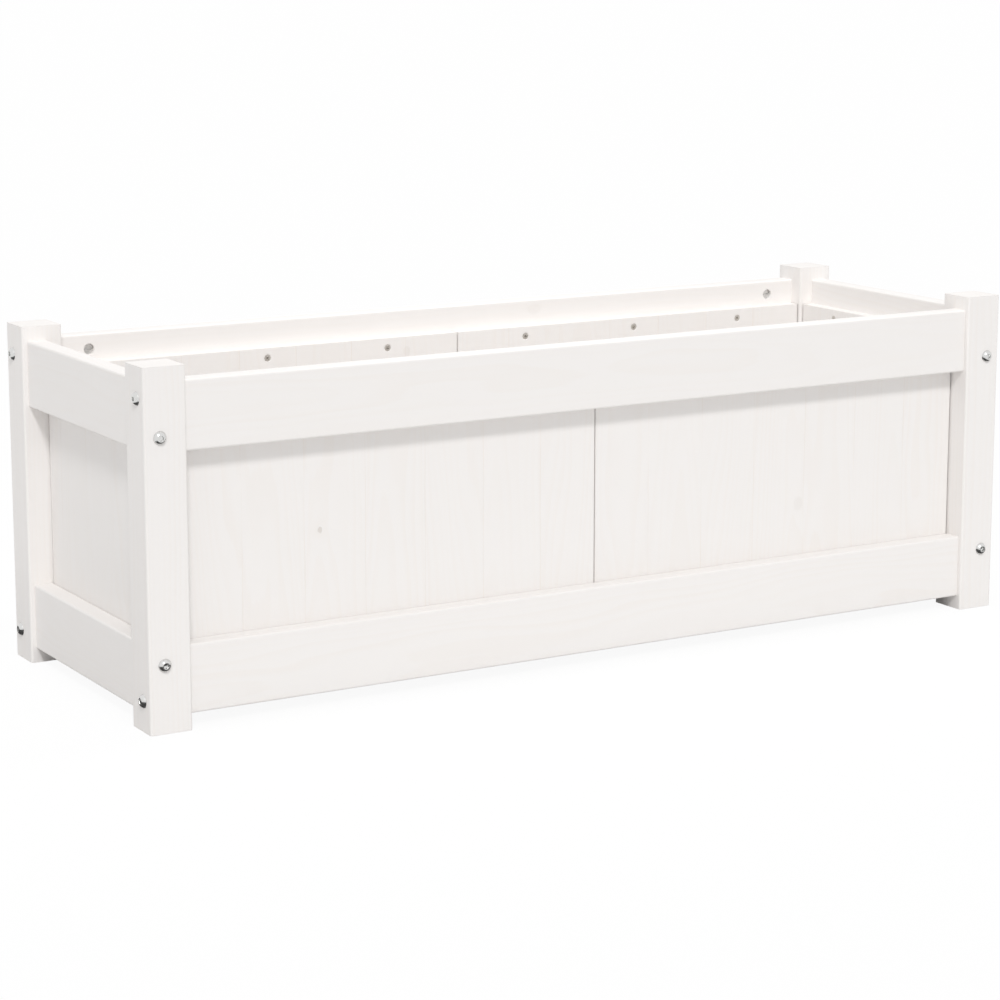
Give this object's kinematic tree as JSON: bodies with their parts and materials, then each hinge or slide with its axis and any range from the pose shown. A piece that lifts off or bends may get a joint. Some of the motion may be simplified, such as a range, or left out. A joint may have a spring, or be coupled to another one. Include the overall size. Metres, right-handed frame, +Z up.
{
  "type": "raised garden bed",
  "caption": "Long rectangular raised garden bed of white painted pine: square corner posts, bolted rails, upright board panels and a slatted base, open at the top.",
  "frame": {"origin": "on the ground, at the middle of the rectangle of the four posts", "axes": "+X along the length towards the right end, +Y from the front to the back, +Z up"},
  "size_m": [0.9066, 0.3166, 0.31],
  "materials": {
    "painted_pine": "matt white paint over planed pine, faint grain and a few small knots showing through",
    "bolt_steel": "bright zinc plated steel",
    "screw_steel": "dull zinc plated steel",
    "dowel_wood": "bare beech, sanded"
  },
  "bodies": {
    "root": {"barrel_nuts_long_rails": "bolt_steel", "barrel_nuts_short_rails": "bolt_steel", "base_slat_1": "painted_pine", "base_slat_2": "painted_pine", "base_slat_3": "painted_pine", "base_slat_4": "painted_pine", "base_slat_5": "painted_pine", "base_slat_6": "painted_pine", "base_slat_7": "painted_pine", "base_slat_8": "painted_pine", "bearer_back": "painted_pine", "bearer_front": "painted_pine", "bearer_screws": "screw_steel", "bolts_long_rails": "bolt_steel", "bolts_short_rails": "bolt_steel", "dowels_long_rails": "dowel_wood", "dowels_short_rails": "dowel_wood", "panel_back_left": "painted_pine", "panel_back_right": "painted_pine", "panel_front_left": "painted_pine", "panel_front_right": "painted_pine", "panel_left_end": "painted_pine", "panel_right_end": "painted_pine", "panel_screws_ends": "screw_steel", "panel_screws_long_sides": "screw_steel", "post_back_left": "painted_pine", "post_back_right": "painted_pine", "post_front_left": "painted_pine", "post_front_right": "painted_pine", "rail_back_bottom": "painted_pine", "rail_back_top": "painted_pine", "rail_front_bottom": "painted_pine", "rail_front_top": "painted_pine", "rail_left_bottom": "painted_pine", "rail_left_top": "painted_pine", "rail_right_bottom": "painted_pine", "rail_right_top": "painted_pine"}
  },
  "joints": []
}
